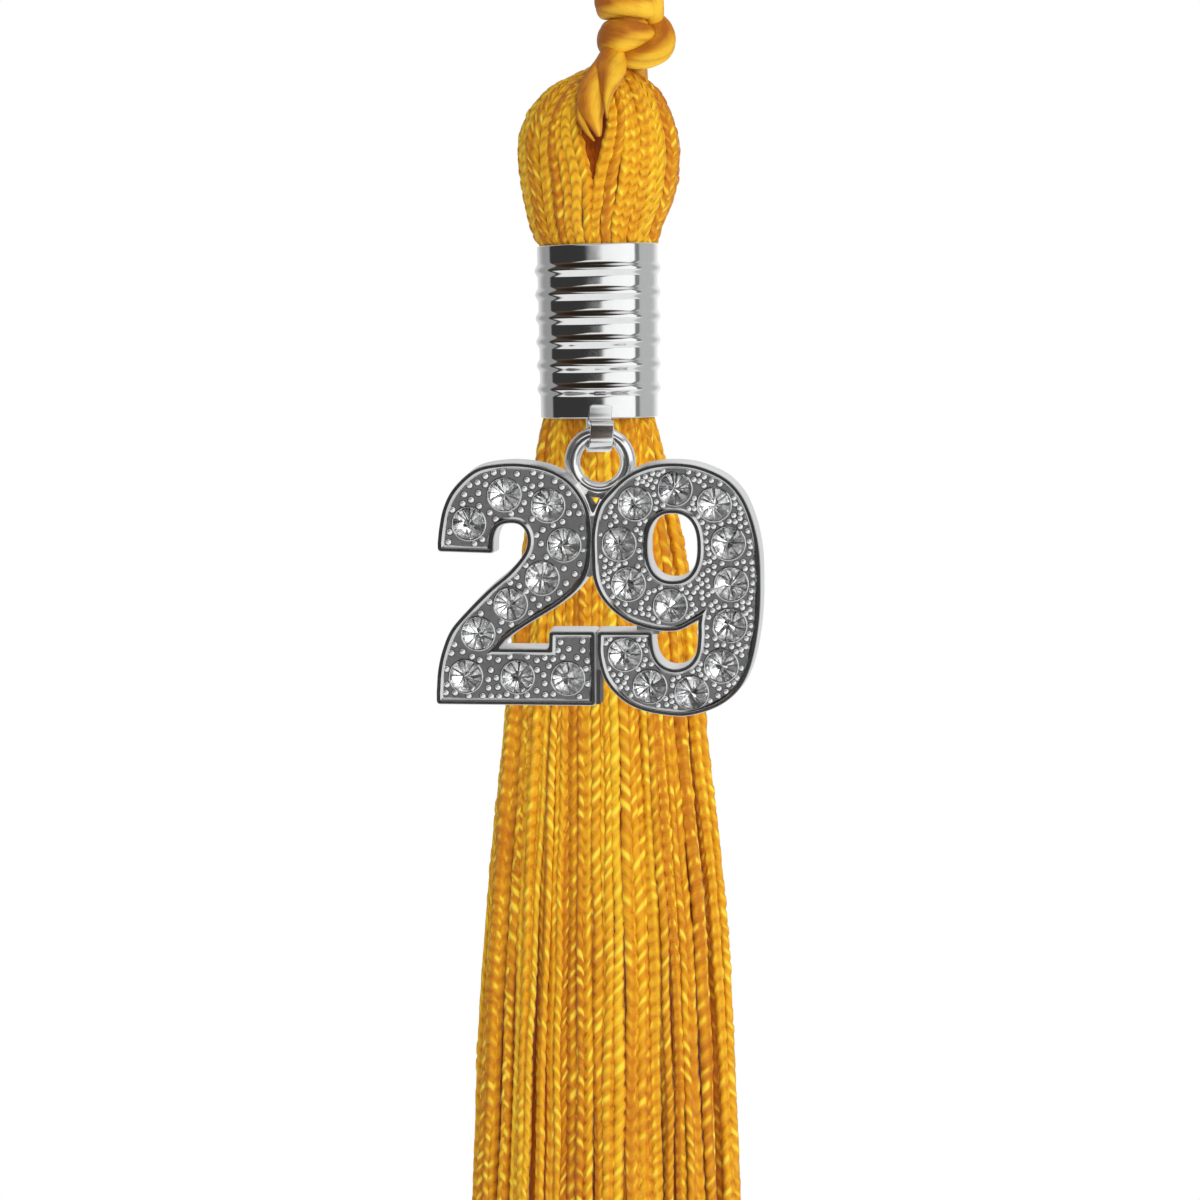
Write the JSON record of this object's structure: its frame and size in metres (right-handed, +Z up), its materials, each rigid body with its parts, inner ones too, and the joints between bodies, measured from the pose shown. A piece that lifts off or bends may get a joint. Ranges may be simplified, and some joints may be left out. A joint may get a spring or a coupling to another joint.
{
  "type": "graduation tassel with numeral charm",
  "caption": "Yarn tassel folded over a knotted hanging cord, gathered in a ribbed metal ferrule, with a rhinestone numeral charm swinging on a strip bail.",
  "frame": {"origin": "top of the hanging loop, where the tassel is hung", "axes": "+Z up along the tassel, -Y towards the front with the charm, +X to the right seen from the front"},
  "size_m": [0.0342, 0.0242, 0.3421],
  "materials": {
    "yarn": "golden chainette yarn with a satin sheen",
    "cord": "golden twisted satin cord",
    "chrome": "bright plated metal",
    "casting": "plated casting with a darkened pebbled floor and beads",
    "crystal": "clear faceted rhinestone"
  },
  "bodies": {
    "tassel": {"yarn_tassel": "yarn", "ferrule": "chrome", "bail": "chrome", "cord_knot": "cord", "hanging_loop": "cord"},
    "charm": {"charm_plate": "casting", "two_stone_1": "crystal", "two_stone_2": "crystal", "two_stone_3": "crystal", "two_stone_4": "crystal", "two_stone_5": "crystal", "two_stone_6": "crystal", "two_stone_7": "crystal", "two_stone_8": "crystal", "two_stone_9": "crystal", "two_stone_10": "crystal", "nine_stone_1": "crystal", "nine_stone_2": "crystal", "nine_stone_3": "crystal", "nine_stone_4": "crystal", "nine_stone_5": "crystal", "nine_stone_6": "crystal", "nine_stone_7": "crystal", "nine_stone_8": "crystal", "nine_stone_9": "crystal", "nine_stone_10": "crystal", "nine_stone_11": "crystal", "nine_stone_12": "crystal", "nine_stone_13": "crystal"}
  },
  "joints": [
    {"name": "charm_swing", "type": "hinge", "parent": "tassel", "child": "charm", "pos_m": [0, -0.0086, -0.1512], "axis": [-1, 0, 0], "range_deg": [0, 165]}
  ]
}
